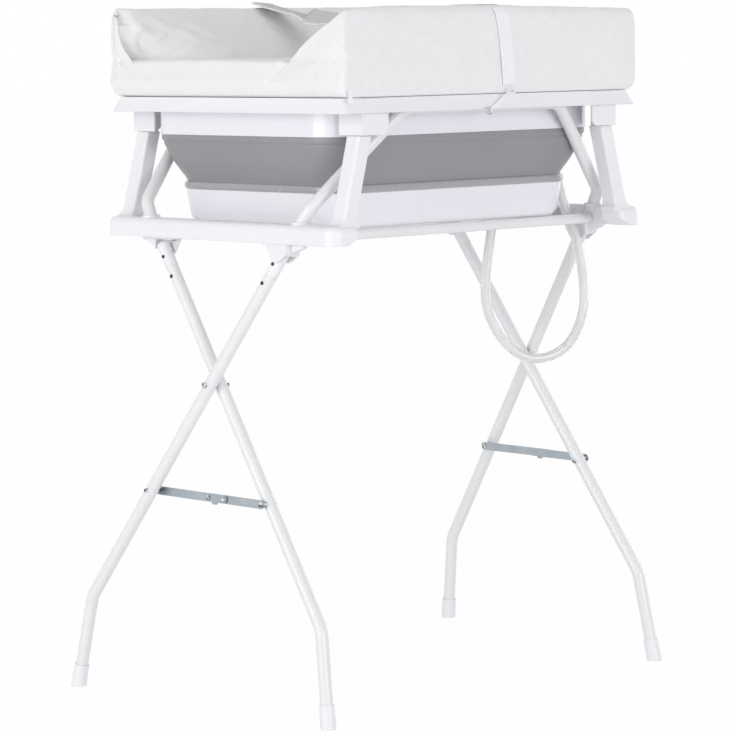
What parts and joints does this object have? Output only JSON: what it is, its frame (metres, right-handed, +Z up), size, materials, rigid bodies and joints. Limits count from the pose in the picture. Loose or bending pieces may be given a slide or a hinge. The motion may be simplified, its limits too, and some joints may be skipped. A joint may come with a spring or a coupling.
{
  "type": "changing table with bathtub",
  "caption": "Folding baby changing table on crossed tube legs, with a padded lift-off changing board over a collapsible bathtub with a drain hose.",
  "frame": {"origin": "on the floor at the centre of the stand's footprint", "axes": "+X along the long side of the changing board with the drain hose at +X, -Y towards the user, +Z up"},
  "size_m": [0.7786, 0.511, 0.9855],
  "materials": {
    "white_plastic": "smooth satin white moulding",
    "white_steel": "white powder coat",
    "tub_white": "smooth glossy white",
    "grey_silicone": "smooth satin grey",
    "zinc_steel": "zinc plated",
    "dark_steel": "blackened screws",
    "clear_tube": "clear flexible tube",
    "white_fabric": "quilted white cover",
    "grey_fabric": "plain grey padded belt",
    "white_webbing": "white elastic webbing"
  },
  "bodies": {
    "frame": {"left_end_frame": "white_plastic", "left_front_socket": "white_plastic", "left_rear_socket": "white_plastic", "left_hinge_pin": "zinc_steel", "right_end_frame": "white_plastic", "right_front_socket": "white_plastic", "right_rear_socket": "white_plastic", "right_hinge_pin": "zinc_steel", "socket_screws": "dark_steel", "front_hoop": "white_steel", "rear_hoop": "white_steel", "front_crossbar": "white_steel", "rear_crossbar": "white_steel", "tub_rim": "tub_white", "tub_wall": "grey_silicone"},
    "left_outer_leg": {"left_outer_leg": "white_steel", "left_outer_leg_top": "white_plastic", "left_outer_foot_cap": "white_plastic", "left_outer_leg_screws": "dark_steel", "left_outer_stay_bolt": "zinc_steel", "left_cross_bolt": "zinc_steel"},
    "left_inner_leg": {"left_inner_leg": "white_steel", "left_inner_leg_top": "white_plastic", "left_inner_foot_cap": "white_plastic", "left_inner_leg_screws": "dark_steel", "left_inner_stay_bolt": "zinc_steel"},
    "left_outer_stay": {"left_outer_stay_link": "zinc_steel", "left_stay_rivets": "zinc_steel"},
    "left_inner_stay": {"left_inner_stay_link": "zinc_steel"},
    "right_outer_leg": {"right_outer_leg": "white_steel", "right_outer_leg_top": "white_plastic", "right_outer_foot_cap": "white_plastic", "right_outer_leg_screws": "dark_steel", "right_outer_stay_bolt": "zinc_steel", "right_cross_bolt": "zinc_steel"},
    "right_inner_leg": {"right_inner_leg": "white_steel", "right_inner_leg_top": "white_plastic", "right_inner_foot_cap": "white_plastic", "right_inner_leg_screws": "dark_steel", "right_inner_stay_bolt": "zinc_steel"},
    "right_outer_stay": {"right_outer_stay_link": "zinc_steel", "right_stay_rivets": "zinc_steel"},
    "right_inner_stay": {"right_inner_stay_link": "zinc_steel"},
    "tub_bottom": {"tub_base": "tub_white", "tub_ring": "grey_silicone", "drain_fitting": "white_plastic", "hose_clip": "white_plastic", "drain_hose": "clear_tube"},
    "drain_plug": {"drain_plug": "grey_silicone"},
    "changing_top": {"changing_board": "white_plastic", "strap_loop": "white_plastic", "changing_mat": "white_fabric", "mat_corner_tie": "white_fabric", "safety_belt": "grey_fabric", "front_strap": "white_webbing", "rear_strap": "white_webbing", "strap_elastic": "white_webbing", "strap_hook": "zinc_steel"}
  },
  "joints": [
    {"name": "left_leg_fold", "type": "hinge", "parent": "frame", "child": "left_outer_leg", "pos_m": [-0.299, -0.1285, 0.636], "axis": [-0.9957, 0, 0.0929], "range_deg": [0, 27.5]},
    {"name": "left_leg_crossing", "type": "hinge", "parent": "left_outer_leg", "child": "left_inner_leg", "pos_m": [-0.31351, 0, 0.45096], "axis": [0.9957, 0, -0.0929], "range_deg": [0, 55]},
    {"name": "left_outer_stay_swing", "type": "hinge", "parent": "left_outer_leg", "child": "left_outer_stay", "pos_m": [-0.32814, 0.109, 0.294], "axis": [0.9957, 0, -0.0929], "range_deg": [0, 104.84]},
    {"name": "left_inner_stay_swing", "type": "hinge", "parent": "left_inner_leg", "child": "left_inner_stay", "pos_m": [-0.32814, -0.109, 0.294], "axis": [-0.9957, 0, 0.0929], "range_deg": [0, 104.84]},
    {"name": "right_leg_fold", "type": "hinge", "parent": "frame", "child": "right_outer_leg", "pos_m": [0.299, -0.1285, 0.636], "axis": [-0.9957, 0, -0.0929], "range_deg": [0, 27.5]},
    {"name": "right_leg_crossing", "type": "hinge", "parent": "right_outer_leg", "child": "right_inner_leg", "pos_m": [0.31351, 0, 0.45096], "axis": [0.9957, 0, 0.0929], "range_deg": [0, 55]},
    {"name": "right_outer_stay_swing", "type": "hinge", "parent": "right_outer_leg", "child": "right_outer_stay", "pos_m": [0.32814, 0.109, 0.294], "axis": [0.9957, 0, 0.0929], "range_deg": [0, 104.84]},
    {"name": "right_inner_stay_swing", "type": "hinge", "parent": "right_inner_leg", "child": "right_inner_stay", "pos_m": [0.32814, -0.109, 0.294], "axis": [-0.9957, 0, -0.0929], "range_deg": [0, 104.84]},
    {"name": "changing_top_lift", "type": "slide", "parent": "frame", "child": "changing_top", "axis": [0, 0, 1], "range_m": [0, 0.15]},
    {"name": "tub_collapse", "type": "slide", "parent": "frame", "child": "tub_bottom", "axis": [0, 0, 1], "range_m": [0, 0.06], "deforming": ["tub_wall", "drain_hose"]},
    {"name": "drain_plug_lift", "type": "slide", "parent": "tub_bottom", "child": "drain_plug", "axis": [0, 0, 1], "range_m": [0, 0.03]}
  ],
  "couplings": [
    {"joint": "left_leg_crossing", "follows": "left_leg_fold", "ratio": 2},
    {"joint": "left_outer_stay_swing", "follows": "left_leg_fold", "ratio": 3.8123},
    {"joint": "left_inner_stay_swing", "follows": "left_leg_fold", "ratio": 3.8123},
    {"joint": "right_leg_crossing", "follows": "right_leg_fold", "ratio": 2},
    {"joint": "right_outer_stay_swing", "follows": "right_leg_fold", "ratio": 3.8123},
    {"joint": "right_inner_stay_swing", "follows": "right_leg_fold", "ratio": 3.8123}
  ]
}
